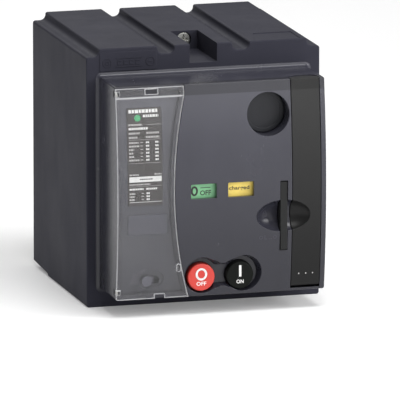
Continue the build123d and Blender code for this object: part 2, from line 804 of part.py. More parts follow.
button_spring_front = flange_front_y + 1.4
for name, x in (("off_button_spring", -button_x), ("on_button_spring", button_x)):
    coil_spring(
        name,
        [(x, bracket_front_y, button_z)],
        (0, -1, 0),
        bracket_front_y - button_spring_front,
        4.2,
        0.4,
        5,
    )

# ---------------------------------------------------------------- indicator flags
flag_low, flag_high = -17.0, 3.0
flag_front_y = -157.2
for name, x in (("position_flag", -window_x), ("charge_flag", window_x)):
    with BuildPart() as flag:
        with BuildSketch(Plane.XZ.offset(-flag_front_y - 1.4)):
            with Locations((x, (flag_low + flag_high) / 2)):
                RectangleRounded(17.0, flag_high - flag_low, 0.8)
        extrude(amount=1.4)
    save(flag, name)

with BuildPart() as flag_guide:
    with BuildSketch(Plane.XZ.offset(154.2)):
        with Locations((0, -1.0)):
            Rectangle(43.4, 34.0)
    extrude(amount=1.4)
    with BuildSketch(Plane.XZ.offset(155.6)):
        with Locations((-20.8, 2.0), (20.8, 2.0)):
            Rectangle(1.8, 28.0)
        with Locations((0, 2.0)):
            Rectangle(4.4, 28.0)
    extrude(amount=1.7)
save(flag_guide, "flag_guide")

# ---------------------------------------------------------------- padlock tab
tab_hole_y, tab_hole_z, tab_hole_radius = -149.8, -6.0, 4.3
with BuildPart() as padlock_tab:
    with BuildSketch(Plane.YZ.offset(tab_x - tab_thickness / 2)):
        with Locations(((tab_front_y + tab_back_y) / 2, (tab_high_z + tab_low_z) / 2)):
            RectangleRounded(tab_back_y - tab_front_y, tab_high_z - tab_low_z, 1.0)
        with Locations((tab_hole_y, tab_hole_z)):
            Circle(tab_hole_radius, mode=Mode.SUBTRACT)
    extrude(amount=tab_thickness)
    with BuildSketch(Plane.YZ.offset(tab_x - tab_thickness / 2 - 1)):
        with Locations((tab_back_y - 4.5, -33.0)):
            Rectangle(20.0, 5.0)
    extrude(amount=tab_thickness + 2, mode=Mode.SUBTRACT)
save(padlock_tab, "padlock_tab")

# ---------------------------------------------------------------- charging lever
lever_left, lever_right = lever_x - lever_width / 2, lever_x + lever_width / 2
lever_inner_half = 6.6
lever_shoulder_z = 50.9
grip_side_y, grip_front_y = -152.6, -155.4
with BuildPart() as lever_hollow:
    with BuildSketch(Plane.XZ.offset(140)):
        with Locations((lever_x, (-59.5 - 31.0) / 2)):
            Rectangle(2 * lever_inner_half, 59.5 - 31.0)
        with Locations((lever_x, (-7.0 + 47.5) / 2)):
            Rectangle(2 * lever_inner_half, 54.5)
    extrude(amount=25)
    add(nose_solid(lever_skin, -2, nose_half_width + 5), mode=Mode.INTERSECT)
    # Thinner skin in front of the hub
    with BuildSketch(Plane.XZ.offset(-pivot_y - 3)):
        with Locations((lever_x, (-59.5 - 50.5) / 2)):
            Rectangle(2 * lever_inner_half, 9.0)
    extrude(amount=-front_y(-59.5, 1.0) + pivot_y + 3)

with BuildPart() as charging_lever:
    with BuildSketch(Plane.XZ.offset(140)):
        with Locations((lever_x, (lever_low_z + nose_top) / 2)):
            Rectangle(lever_width, nose_top - lever_low_z)
    extrude(amount=25)
    add(nose_solid(0), mode=Mode.INTERSECT)
    add(nose_solid(lever_depth, -2, nose_half_width + 5), mode=Mode.SUBTRACT)
    # D-shaped finger grip at the top
    with BuildSketch(Plane.XZ.offset(140)):
        with Locations((lever_x, lever_shoulder_z + 6)):
            Rectangle(lever_width + 2, 12)
    extrude(amount=15, mode=Mode.SUBTRACT)
    with BuildSketch(Plane.XY.offset(lever_shoulder_z)):
        with BuildLine():
            Polyline(
                (lever_right, grip_side_y),
                (lever_right, grip_front_y),
                (lever_left, grip_front_y),
                (lever_left, grip_side_y),
            )
            ThreePointArc((lever_left, grip_side_y), (lever_x, -148.9), (lever_right, grip_side_y))
        make_face()
    extrude(amount=nose_top - lever_shoulder_z)
    fillet(
        charging_lever.edges()
        .filter_by(Axis.X)
        .filter_by(lambda e: e.center().Z > nose_top - 0.1)
        .sort_by(Axis.Y)[0],
        0.9,
    )
    fillet(
        charging_lever.edges()
        .filter_by(Axis.X)
        .filter_by(lambda e: e.center().Z < lever_low_z + 0.1)
        .sort_by(Axis.Y)[0],
        2.0,
    )
    add(lever_hollow.part, mode=Mode.SUBTRACT)
    add(scoop_cut, mode=Mode.SUBTRACT)
    with BuildSketch(Plane.YZ.offset(lever_left - 1)):
        with Locations((pivot_y, pivot_z)):
            Circle(pin_radius + running)
    extrude(amount=lever_width + 2, mode=Mode.SUBTRACT)
    for offset in (-4.15, 0.0, 4.15):
        with BuildSketch(Plane.XZ.offset(-front_y(-54.5) - 0.3)):
            with Locations((lever_x + offset, -54.5)):
                Circle(0.65)
        extrude(amount=0.6)
save(charging_lever, "charging_lever")


def disc(x, length, centre, radius, bore=0.0, mode=Mode.ADD):
    """A disc or ring about an axis along X, joined to the part being built."""
    with BuildSketch(Plane.YZ.offset(x)) as face:
        with Locations(centre):
            Circle(radius)
            if bore:
                Circle(bore, mode=Mode.SUBTRACT)
    extrude(face.sketch, amount=length, mode=mode)


def gear_wheel(x, length, centre, outline, bore):
    """A gear about an axis along X, joined to the part being built."""
    with BuildSketch(Plane.YZ.offset(x)) as face:
        with Locations(centre):
            add(outline)
            Circle(bore, mode=Mode.SUBTRACT)
    extrude(face.sketch, amount=length)


with BuildPart() as lever_pin:
    disc(39.4, 61.2 - 39.4, (pivot_y, pivot_z), pin_radius)
save(lever_pin, "lever_pin")

sector_outline = gear_outline(sector_gear, sector_angle, first=-6, last=1)
with BuildPart() as lever_sector:
    gear_wheel(44.0, 4.0, (pivot_y, pivot_z), sector_outline, pin_radius + running)
    disc(44.0, 4.0, (pivot_y, pivot_z), 3.3, pin_radius + running)
save(lever_sector, "lever_sector")

coil_spring("lever_return_spring", [(48.3, pivot_y, pivot_z)], (1, 0, 0), 7.5, 2.4, 0.4, 5)

# ---------------------------------------------------------------- input shaft
axle_radius = 2.5
shaft_radius = 4.0
charge_angle = mesh_angle(sector_angle, sector_gear, charge_gear, sector_angle)
charge_outline = gear_outline(charge_gear, charge_angle)
with BuildPart() as input_axle:
    disc(frame_left_x - 1.5, 55.0, input_axis, axle_radius)
save(input_axle, "input_axle")

with BuildPart() as charge_pinion:
    gear_wheel(43.0, 6.0, input_axis, charge_outline, axle_radius + running)
    disc(33.6, 9.4, input_axis, 4.5, axle_radius + running)
save(charge_pinion, "charge_pinion")

pawl_angle, pawl_reach = 150.0, 14.0
pawl_axis = along(input_axis, pawl_angle, pawl_reach)
with BuildPart() as pawl_carrier:
    with BuildSketch(Plane.YZ.offset(31.4)):
        with Locations(input_axis, pawl_axis):
            Circle(4.5)
        with Locations(Location((*along(input_axis, pawl_angle, pawl_reach / 2), 0), pawl_angle)):
            Rectangle(pawl_reach, 6.0)
        with Locations(input_axis):
            Circle(7.0)
            Circle(axle_radius + running, mode=Mode.SUBTRACT)
        with Locations(pawl_axis):
            Circle(1.2, mode=Mode.SUBTRACT)
    extrude(amount=2.2)
save(pawl_carrier, "pawl_carrier")

with BuildPart() as pawl_pin:
    disc(26.8, 6.8, pawl_axis, 1.2)
save(pawl_pin, "pawl_pin")

pawl_tip = along(input_axis, 112.0, 9.6)
with BuildPart() as drive_pawl:
    with BuildSketch(Plane.YZ.offset(27.6)):
        with Locations(pawl_axis):
            Circle(2.4)
        with BuildLine():
            Polyline(
                along(pawl_axis, 100, 2.3),
                along(pawl_tip, 60, 1.7),
                pawl_tip,
                along(pawl_axis, -30, 2.3),
                close=True,
            )
        make_face()
        with Locations(pawl_axis):
            Circle(1.2 + running, mode=Mode.SUBTRACT)
    extrude(amount=3.0)
save(drive_pawl, "drive_pawl")

ratchet_teeth, ratchet_tip, ratchet_root, ratchet_start = 12, 9.0, 7.4, 105.0
with BuildPart() as ratchet_wheel:
    with BuildSketch(Plane.YZ.offset(27.0)):
        with BuildLine():
            corners = []
            for number in range(ratchet_teeth):
                angle = ratchet_start + 360 * number / ratchet_teeth
                corners += [along(input_axis, angle, ratchet_tip), along(input_axis, angle, ratchet_root)]
            Polyline(*corners, close=True)
        make_face()
        with Locations(input_axis):
            Circle(axle_radius + running, mode=Mode.SUBTRACT)
    extrude(amount=4.0)
save(ratchet_wheel, "ratchet_wheel")

ratchet_outline = gear_outline(ratchet_spur, input_angle)
with BuildPart() as ratchet_gear:
    gear_wheel(20.0, 6.0, input_axis, ratchet_outline, axle_radius + running)
    disc(26.0, 1.0, input_axis, 5.0, axle_radius + running)
save(ratchet_gear, "ratchet_gear")

# ---------------------------------------------------------------- intermediate shaft
middle_spur_angle = mesh_angle(input_angle, ratchet_spur, middle_spur, input_angle)
middle_outline = gear_outline(middle_spur, middle_spur_angle)
with BuildPart() as intermediate_gear:
    gear_wheel(20.0, 6.0, middle_axis, middle_outline, shaft_radius)
    with BuildSketch(Plane.YZ.offset(20.0)):
        with Locations(middle_axis):
            with PolarLocations(18.5, 6):
                Circle(5.5)
    extrude(amount=6.0, mode=Mode.SUBTRACT)
save(intermediate_gear, "intermediate_gear")

pinion_outline = gear_outline(middle_pinion, drive_angle)
with BuildPart() as intermediate_pinion:
    gear_wheel(28.0, 8.0, middle_axis, pinion_outline, shaft_radius)
save(intermediate_pinion, "intermediate_pinion")

with BuildPart() as intermediate_shaft:
    disc(-2.5, 57.0, middle_axis, shaft_radius)
save(intermediate_shaft, "intermediate_shaft")

# ---------------------------------------------------------------- motor
motor_can_radius, motor_can_length = 19.0, 52.0
motor_pinion_angle = mesh_angle(middle_spur_angle, middle_spur, motor_spur, motor_angle)
motor_outline = gear_outline(motor_spur, motor_pinion_angle)
with BuildPart() as motor_pinion:
    gear_wheel(19.0, 8.0, motor_axis, motor_outline, 1.5)
save(motor_pinion, "motor_pinion")

with BuildPart() as motor_shaft:
    disc(-3.0, 30.5, motor_axis, 1.5)
save(motor_shaft, "motor_shaft")

with BuildPart() as motor_can:
    disc(-motor_can_length, motor_can_length, motor_axis, motor_can_radius)
    fillet(motor_can.edges().group_by(Axis.X)[-1], 1.5)
    disc(-3.5, 3.6, motor_axis, 1.7, mode=Mode.SUBTRACT)
save(motor_can, "motor_can")

with BuildPart() as motor_end_cap:
    disc(-motor_can_length - 5.0, 5.0, motor_axis, motor_can_radius - 1.5)
    fillet(motor_end_cap.edges().group_by(Axis.X)[0], 1.2)
    for side in (-1, 1):
        with BuildSketch(Plane.YZ.offset(-motor_can_length - 6.6)):
            with Locations((motor_axis[0] + side * 9, motor_axis[1] - 8)):
                Rectangle(0.8, 4.8)
        extrude(amount=2.0)
save(motor_end_cap, "motor_end_cap")

# ---------------------------------------------------------------- drive shaft and rack
drive_gear_angle = mesh_angle(drive_angle, middle_pinion, drive_spur, drive_angle)
drive_outline = gear_outline(drive_spur, drive_gear_angle)
rack_outline = gear_outline(rack_gear, 0.0)
with BuildPart() as drive_gear:
    gear_wheel(28.0, 8.0, drive_axis, drive_outline, shaft_radius)
    with BuildSketch(Plane.YZ.offset(28.0)):
        with Locations(drive_axis):
            with PolarLocations(15.5, 5):
                Circle(5.0)
    extrude(amount=8.0, mode=Mode.SUBTRACT)
save(drive_gear, "drive_gear")

with BuildPart() as rack_pinion:
    gear_wheel(4.0, 12.0, drive_axis, rack_outline, shaft_radius)
save(rack_pinion, "rack_pinion")

with BuildPart() as drive_shaft:
    disc(-2.5, 57.0, drive_axis, shaft_radius)
save(drive_shaft, "drive_shaft")

rack_module = rack_gear[0]
rack_pitch = pi * rack_module
rack_low, rack_high = -53.0, 9.0
rack_root_y = rack_pitch_y + 1.25 * rack_module
with BuildPart() as rack:
    with BuildSketch(Plane.YZ.offset(4.0)):
        with Locations(((rack_root_y + carriage_front) / 2, (rack_low + rack_high) / 2)):
            Rectangle(carriage_front - rack_root_y, rack_high - rack_low)
        with BuildLine():
            slope = tan(pressure_angle)
            half_pitch_width = rack_pitch / 4 - backlash / 2
            tip_half = half_pitch_width - rack_module * slope
            root_half = half_pitch_width + 1.25 * rack_module * slope
            for number in range(-8, 1):
                z = (number + 0.5) * rack_pitch
                Polyline(
                    (rack_root_y, z - root_half),
                    (rack_pitch_y - rack_module, z - tip_half),
                    (rack_pitch_y - rack_module, z + tip_half),
                    (rack_root_y, z + root_half),
                    close=True,
                )
        make_face()
    extrude(amount=12.0)
save(rack, "rack")

# ---------------------------------------------------------------- carriage and closing springs
toggle_pocket_half, toggle_pocket_height = 17.0, 18.0
carriage_mid = (carriage_low + carriage_high) / 2
with BuildPart() as toggle_carriage:
    with BuildSketch(Plane.XZ.offset(-carriage_back)):
        with Locations((0, carriage_mid)):
            RectangleRounded(2 * rod_x + 12.0, carriage_high - carriage_low, 2.0)
    extrude(amount=carriage_back - carriage_front)
    with BuildSketch(Plane.XZ.offset(-carriage_back)):
        with Locations((0, carriage_mid)):
            RectangleRounded(2 * toggle_pocket_half, toggle_pocket_height, 2.0)
    extrude(amount=11.0, mode=Mode.SUBTRACT)
    with BuildSketch(Plane.XY.offset(carriage_low)):
        with Locations((-rod_x, rod_y), (rod_x, rod_y)):
            Circle(rod_radius + running)
    extrude(amount=carriage_high - carriage_low, mode=Mode.SUBTRACT)
save(toggle_carriage, "toggle_carriage")

rod_low, rod_high = -62.0, 56.0
with BuildPart() as guide_rods:
    with BuildSketch(Plane.XY.offset(rod_low)):
        with Locations((-rod_x, rod_y), (rod_x, rod_y)):
            Circle(rod_radius)
    extrude(amount=rod_high - rod_low)
save(guide_rods, "guide_rods")

for name, low, high in (
    ("lower_cross_member", rod_low, lower_member_top),
    ("upper_cross_member", upper_member_low, rod_high),
):
    with BuildPart() as member:
        with BuildSketch(Plane.XY.offset(low)):
            with Locations((7.0, -10.5)):
                Rectangle(94.0, 15.0)
            with Locations((-rod_x, rod_y), (rod_x, rod_y)):
                Circle(rod_radius, mode=Mode.SUBTRACT)
        extrude(amount=high - low)
    save(member, name)

for name, x in (("closing_spring_left", -rod_x), ("closing_spring_right", rod_x)):
    coil_spring(
        name,
        [(x, rod_y, lower_member_top)],
        (0, 0, 1),
        carriage_low - lower_member_top,
        5.0,
        0.9,
        6,
    )

# ---------------------------------------------------------------- frame
bush_radius = 6.5
frame_outline = [
    (frame_back_y, -62.0),
    (-60.0, -62.0),
    (-104.0, -50.0),
    (-131.5, -34.0),
    (-131.5, -17.0),
    (-114.0, 12.0),
    (-114.0, 54.0),
    (frame_back_y, 56.0),
]
for name, x in (("frame_plate_left", frame_left_x), ("frame_plate_right", frame_right_x)):
    with BuildPart() as frame_plate:
        with BuildSketch(Plane.YZ.offset(x)):
            with BuildLine():
                Polyline(*frame_outline, close=True)
            make_face()
            # Tabs that bear on the cross members
            with Locations((-19.5, 51.0), (-19.5, -59.0)):
                Rectangle(3.0, 6.0)
            with Locations(middle_axis, drive_axis):
                Circle(bush_radius, mode=Mode.SUBTRACT)
            with Locations(input_axis):
                Circle(axle_radius, mode=Mode.SUBTRACT)
            with Locations(*spacer_axes):
                Circle(1.5, mode=Mode.SUBTRACT)
            if x == frame_left_x:
                with Locations(motor_axis):
                    Circle(4.0, mode=Mode.SUBTRACT)
                    with PolarLocations(12.0, 2, 45):
                        Circle(1.5, mode=Mode.SUBTRACT)
        extrude(amount=frame_sheet)
    save(frame_plate, name)

with BuildPart() as bearing_bushes:
    for x, outer_x in ((frame_left_x, frame_left_x - 1.5), (frame_right_x, frame_right_x)):
        for axis in (middle_axis, drive_axis):
            disc(outer_x, 3.5, axis, bush_radius, shaft_radius + running)
save(bearing_bushes, "bearing_bushes")

with BuildPart() as frame_spacers:
    for axis in spacer_axes:
        disc(frame_left_x + frame_sheet, frame_right_x - frame_left_x - frame_sheet, axis, spacer_radius)
        disc(frame_left_x + frame_sheet, 8.0, axis, 1.5, mode=Mode.SUBTRACT)
        disc(frame_right_x - 8.0, 8.0, axis, 1.5, mode=Mode.SUBTRACT)
save(frame_spacers, "frame_spacers")

with BuildPart() as frame_screws:
    for axis in spacer_axes:
        disc(frame_left_x - 1.8, 1.8, axis, 3.0)
        disc(frame_left_x, 8.0, axis, 1.5)
        disc(frame_right_x + frame_sheet, 1.8, axis, 3.0)
        disc(frame_right_x + frame_sheet - 8.0, 8.0, axis, 1.5)
save(frame_screws, "frame_screws")

# ---------------------------------------------------------------- electronics
board_x, board_sheet = -62.0, 1.6
board_front, board_back, board_low, board_high = -112.0, -30.0, -52.0, 28.0
post_places = [(-108.0, -48.0), (-108.0, 24.0), (-34.0, -48.0), (-34.0, 24.0)]
with BuildPart() as circuit_board:
    with BuildSketch(Plane.YZ.offset(board_x)):
        with Locations(((board_front + board_back) / 2, (board_low + board_high) / 2)):
            RectangleRounded(board_back - board_front, board_high - board_low, 2.0)
        with Locations(*post_places):
            Circle(1.5, mode=Mode.SUBTRACT)
    extrude(amount=board_sheet)
save(circuit_board, "circuit_board")

with BuildPart() as board_posts:
    for place in post_places:
        disc(-half_width + wall, board_x + half_width - wall, place, 3.0)
        disc(board_x, board_sheet, place, 1.5)
save(board_posts, "board_posts")

parts_x = board_x + board_sheet
with BuildPart() as board_components:
    # Relay
    with BuildSketch(Plane.YZ.offset(parts_x)):
        with Locations((-52.0, -14.0)):
            RectangleRounded(20.0, 28.0, 1.0)
    extrude(amount=16.0)
    # Capacitor
    disc(parts_x, 22.0, (-82.0, -34.0), 7.0)
    # Terminal block
    with BuildSketch(Plane.YZ.offset(parts_x + 4.0)):
        with Locations((-102.0, -20.0)):
            Rectangle(12.0, 36.0)
            with GridLocations(1, 8.0, 1, 4):
                Circle(2.2, mode=Mode.SUBTRACT)
    extrude(amount=7.0)
    with BuildSketch(Plane.YZ.offset(parts_x)):
        with Locations((-102.0, -20.0)):
            Rectangle(12.0, 36.0)
    extrude(amount=4.0)
save(board_components, "board_components")
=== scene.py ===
import math
import random

import bpy
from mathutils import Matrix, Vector
from mathutils.bvhtree import BVHTree


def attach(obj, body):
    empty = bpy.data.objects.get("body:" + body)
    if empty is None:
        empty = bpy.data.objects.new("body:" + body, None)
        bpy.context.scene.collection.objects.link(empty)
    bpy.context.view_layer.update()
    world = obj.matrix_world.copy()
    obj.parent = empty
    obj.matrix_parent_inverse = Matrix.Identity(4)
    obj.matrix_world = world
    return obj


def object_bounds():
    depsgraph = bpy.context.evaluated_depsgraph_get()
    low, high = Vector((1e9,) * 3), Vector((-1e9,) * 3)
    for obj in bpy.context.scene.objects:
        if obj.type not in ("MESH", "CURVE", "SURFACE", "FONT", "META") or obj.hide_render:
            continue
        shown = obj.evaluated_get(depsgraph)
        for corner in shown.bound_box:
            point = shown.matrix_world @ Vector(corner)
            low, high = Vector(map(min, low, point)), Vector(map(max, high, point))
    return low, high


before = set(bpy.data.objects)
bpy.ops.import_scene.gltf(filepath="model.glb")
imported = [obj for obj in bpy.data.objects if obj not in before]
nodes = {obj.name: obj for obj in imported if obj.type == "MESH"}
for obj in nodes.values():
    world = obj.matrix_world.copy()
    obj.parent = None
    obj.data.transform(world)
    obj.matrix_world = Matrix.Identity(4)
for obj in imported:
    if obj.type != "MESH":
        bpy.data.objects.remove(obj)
cad_low, cad_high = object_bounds()
MM = 0.001

# Heights, sides and depths of the front that the materials and marks follow, in millimetres
FOLD_Z = 53.5  # crease across the top of the front
BULGE_Z, BULGE_Y = -5.5, -160.7  # foremost line of the bulged front
BULGE_CURVE = 1.2  # how fast the front falls back from it, per metre
PANEL_DEPTHS = (3.6, 4.2, 5.6, 6.2)  # the sunk panel starts and ends fading in at these depths
PANEL_LEFT, PANEL_RIGHT = -59.8, -18.8
COVER_FRONT_Y = -149.75  # nearer than this, the painted shade of the band above the crease applies
FLAG_SPLIT_Z = -7.4
LABEL_LEFT, LABEL_RIGHT = -54.3, -35.0
BUTTON_X = 11.6
LEVER_DOTS = [(46.4, -54.5), (50.6, -54.5), (54.7, -54.5)]
THIN_INK = 0.03


# ------------------------------------------------------------------ node graphs
class Graph:
    """A material whose shader is fed by procedural nodes in the row frame's own coordinates."""

    def __init__(self, name):
        self.material = bpy.data.materials.new(name)
        self.material.use_nodes = True
        tree = self.material.node_tree
        tree.nodes.clear()
        self.nodes, self.links = tree.nodes, tree.links
        self.shader = self.add("ShaderNodeBsdfPrincipled")
        self.output = self.add("ShaderNodeOutputMaterial")
        self.links.new(self.shader.outputs["BSDF"], self.output.inputs["Surface"])
        self.place = self.add("ShaderNodeTexCoord").outputs["Object"]

    def add(self, kind):
        return self.nodes.new(kind)

    def join(self, source, socket):
        self.links.new(source, socket)

    def set(self, **values):
        for key, value in values.items():
            self.shader.inputs[key.replace("_", " ")].default_value = value

    def noise(self, scale, detail=3.0, rough=0.55, stretch=(1, 1, 1)):
        mapping = self.add("ShaderNodeMapping")
        mapping.inputs["Scale"].default_value = stretch
        self.join(self.place, mapping.inputs["Vector"])
        node = self.add("ShaderNodeTexNoise")
        node.inputs["Scale"].default_value = scale
        node.inputs["Detail"].default_value = detail
        node.inputs["Roughness"].default_value = rough
        self.join(mapping.outputs["Vector"], node.inputs["Vector"])
        return node.outputs["Fac"]

    def remap(self, value, low, high, to_low, to_high, smooth=False):
        node = self.add("ShaderNodeMapRange")
        node.interpolation_type = "SMOOTHSTEP" if smooth else "LINEAR"
        for key, number in zip(("From Min", "From Max", "To Min", "To Max"), (low, high, to_low, to_high)):
            node.inputs[key].default_value = number
        self.join(value, node.inputs["Value"])
        return node.outputs["Result"]

    def math(self, operation, a, b):
        node = self.add("ShaderNodeMath")
        node.operation = operation
        for socket, value in zip(node.inputs, (a, b)):
            if isinstance(value, (int, float)):
                socket.default_value = value
            else:
                self.join(value, socket)
        return node.outputs["Value"]

    def blend(self, factor, a, b, mode="MIX"):
        node = self.add("ShaderNodeMix")
        node.data_type = "RGBA"
        node.blend_type = mode
        for name, value in (("Factor", factor), ("A", a), ("B", b)):
            socket = next(s for s in node.inputs if s.name == name and s.enabled)
            if isinstance(value, (int, float)):
                socket.default_value = value
            elif isinstance(value, tuple):
                socket.default_value = (*value, 1.0)
            else:
                self.join(value, socket)
        return next(s for s in node.outputs if s.enabled)

    def axis(self, name):
        node = self.add("ShaderNodeSeparateXYZ")
        self.join(self.place, node.inputs["Vector"])
        return node.outputs[name]

    def bevel(self, radius):
        node = self.add("ShaderNodeBevel")
        node.samples = 6
        node.inputs["Radius"].default_value = radius
        return node.outputs["Normal"]

    def edges(self, radius):
        """1 on sharp edges and 0 elsewhere, from how far a rounded normal leans away."""
        normal = self.add("ShaderNodeNewGeometry").outputs["Normal"]
        node = self.add("ShaderNodeVectorMath")
        node.operation = "DOT_PRODUCT"
        self.join(self.bevel(radius), node.inputs[0])
        self.join(normal, node.inputs[1])
        return self.remap(node.outputs["Value"], 0.995, 0.86, 0.0, 1.0, smooth=True)

    def facing_up(self):
        normal = self.add("ShaderNodeNewGeometry").outputs["Normal"]
        node = self.add("ShaderNodeSeparateXYZ")
        self.join(normal, node.inputs["Vector"])
        return self.remap(node.outputs["Z"], 0.75, 1.0, 0.0, 1.0, smooth=True)

    def rises(self, name, at, half=0.2):
        """0 below a coordinate in millimetres and 1 above it."""
        return self.remap(self.axis(name), (at - half) * MM, (at + half) * MM, 0, 1)

    def falls(self, name, at, half=0.2):
        """1 below a coordinate in millimetres and 0 above it."""
        return self.remap(self.axis(name), (at - half) * MM, (at + half) * MM, 1, 0)

    def panel_mask(self):
        """1 on the sunk panel behind the clear cover, from its depth behind the bulged front."""
        above_middle = self.math("SUBTRACT", self.axis("Z"), BULGE_Z * MM)
        bulge = self.math("MULTIPLY", self.math("MULTIPLY", above_middle, above_middle), BULGE_CURVE)
        depth = self.math("SUBTRACT", self.math("SUBTRACT", self.axis("Y"), BULGE_Y * MM), bulge)
        begins, full, fades, ends = (d * MM for d in PANEL_DEPTHS)
        deep = self.remap(depth, begins, full, 0, 1)
        shallow = self.remap(depth, fades, ends, 1, 0)
        between = self.math("MULTIPLY", self.rises("X", PANEL_LEFT), self.falls("X", PANEL_RIGHT))
        return self.math("MULTIPLY", self.math("MULTIPLY", deep, shallow), between)

    def relief(self, height, strength, distance, round_radius):
        node = self.add("ShaderNodeBump")
        node.inputs["Strength"].default_value = strength
        node.inputs["Distance"].default_value = distance
        self.join(height, node.inputs["Height"])
        if round_radius:
            self.join(self.bevel(round_radius), node.inputs["Normal"])
        self.join(node.outputs["Normal"], self.shader.inputs["Normal"])


def shade(color, factor):
    return tuple(min(1.0, c * factor) for c in color)


def moulded(name, color, rough, grain=0.5, vary=0.10, wear=0.35, dust=0.25, painted_shade_gradient=None, round_mm=0.35,
            specular=0.5, coat=0.0, panel=None, fold_painted_shade=None):
    """Moulded plastic: spark-eroded grain, faint flow marks, rubbed edges and a little dust on top.

    painted_shade_gradient is (low, high, dark, light): painted light and shade, the tone's factor between
    two heights in millimetres, dark at the low height and light at the high one.
    panel and fold_painted_shade are factors for the sunk panel and for the band above the crease: the
    panel's factor is a painted reflection of the clear cover, and the band's factor is a painted shade."""
    g = Graph(name)
    flow = g.noise(22, 4, stretch=(1, 1, 0.35))
    mottle = g.noise(160, 3)
    tone = g.blend(g.remap(flow, 0.32, 0.68, 0, 1), shade(color, 1 - vary), shade(color, 1 + vary))
    tone = g.blend(g.math("MULTIPLY", mottle, 0.22), tone, shade(color, 1.35))
    # Painted light and shade: the tone runs from dark low down to light high up, standing in for the light
    # falling off down the front.
    if painted_shade_gradient:
        low, high, dark, light = painted_shade_gradient
        height = g.remap(g.axis("Z"), low * MM, high * MM, 0, 1, smooth=True)
        painted_shade_tint = g.blend(height, (dark,) * 3, (light,) * 3)
        tone = g.blend(1.0, tone, painted_shade_tint, "MULTIPLY")
    # Painted shade: the band above the crease is darkened to stand in for the darker light it gets.
    if fold_painted_shade:
        above = g.math("MULTIPLY", g.rises("Z", FOLD_Z, 0.1), g.falls("Y", COVER_FRONT_Y, 0.25))
        tone = g.blend(1.0, tone, g.blend(above, (1, 1, 1), (fold_painted_shade,) * 3), "MULTIPLY")
    # Painted reflection: the sunk panel is lightened to stand in for the clear cover's reflection over it.
    if panel:
        lift = g.blend(g.panel_mask(), (1, 1, 1), (panel,) * 3)
        tone = g.blend(1.0, tone, lift, "MULTIPLY")
    if wear:
        rub = g.math("MULTIPLY", g.edges(0.00045), g.remap(g.noise(420, 2), 0.38, 0.62, 0.25, 1))
        tone = g.blend(g.math("MULTIPLY", rub, wear), tone, tuple(c * 1.9 + 0.02 for c in color))
    if dust:
        patch = g.math("MULTIPLY", g.facing_up(), g.remap(g.noise(60, 5, 0.7), 0.4, 0.8, 0, dust))
        tone = g.blend(patch, tone, (0.34, 0.33, 0.32))
    g.join(tone, g.shader.inputs["Base Color"])
    smear = g.remap(g.noise(48, 5, 0.65, stretch=(1, 1, 0.5)), 0.3, 0.7, rough - 0.04, rough + 0.05)
    g.join(smear, g.shader.inputs["Roughness"])
    fine = g.math("ADD", g.noise(2600, 2, 0.6), g.math("MULTIPLY", g.noise(700, 2), 0.6))
    g.relief(fine, grain, 0.00006, round_mm * MM)
    g.set(IOR=1.49, Specular_IOR_Level=specular, Coat_Weight=coat, Coat_Roughness=0.12)
    return g.material


def metal(name, color, rough, stretch=(1, 1, 1), scratch=0.35, vary=0.12, stain=(0.30, 0.26, 0.20),
          stain_share=0.25, round_mm=0.2):
    """Plated, drawn or machined metal: directional lines, uneven sheen and faint stains."""
    g = Graph(name)
    lines = g.noise(900, 3, 0.6, stretch)
    cloud = g.noise(55, 4, 0.6)
    tone = g.blend(g.remap(lines, 0.3, 0.7, 0, 1), shade(color, 1 - vary), shade(color, 1 + vary))
    tone = g.blend(g.remap(cloud, 0.52, 0.75, 0, stain_share), tone, stain)
    bright = g.math("MULTIPLY", g.edges(0.0003), g.remap(g.noise(600, 2), 0.4, 0.6, 0.2, 0.8))
    tone = g.blend(bright, tone, shade(color, 1.35))
    g.join(tone, g.shader.inputs["Base Color"])
    g.join(g.remap(cloud, 0.3, 0.7, rough - 0.06, rough + 0.12), g.shader.inputs["Roughness"])
    g.relief(lines, scratch, 0.00005, round_mm * MM)
    g.set(Metallic=1.0)
    return g.material


def ink(name, color, rough=0.45):
    """Printed ink, a little uneven and worn."""
    g = Graph(name)
    tone = g.blend(g.remap(g.noise(900, 4), 0.35, 0.7, 0, 1), shade(color, 0.88), shade(color, 1.05))
    g.join(tone, g.shader.inputs["Base Color"])
    g.join(g.remap(g.noise(300, 3), 0.3, 0.7, rough - 0.06, rough + 0.08), g.shader.inputs["Roughness"])
    g.relief(g.noise(1800, 2), 0.15, 0.00003, 0)
    return g.material


def two_tone(name, top, bottom, split_mm):
    """A printed flag, one colour above a height and another below it, at rest."""
    g = Graph(name)
    upper = g.remap(g.axis("Z"), (split_mm - 0.05) * MM, (split_mm + 0.05) * MM, 0, 1)
    fade = g.remap(g.noise(240, 4), 0.35, 0.7, 0.88, 1.06)
    tone = g.blend(upper, bottom, top)
    tone = g.blend(1.0, tone, g.blend(fade, (0, 0, 0), (1, 1, 1)), "MULTIPLY")
    g.join(tone, g.shader.inputs["Base Color"])
    g.join(g.remap(g.noise(120, 3), 0.3, 0.7, 0.34, 0.48), g.shader.inputs["Roughness"])
    g.relief(g.noise(1500, 2), 0.2, 0.00004, 0.2 * MM)
    return g.material


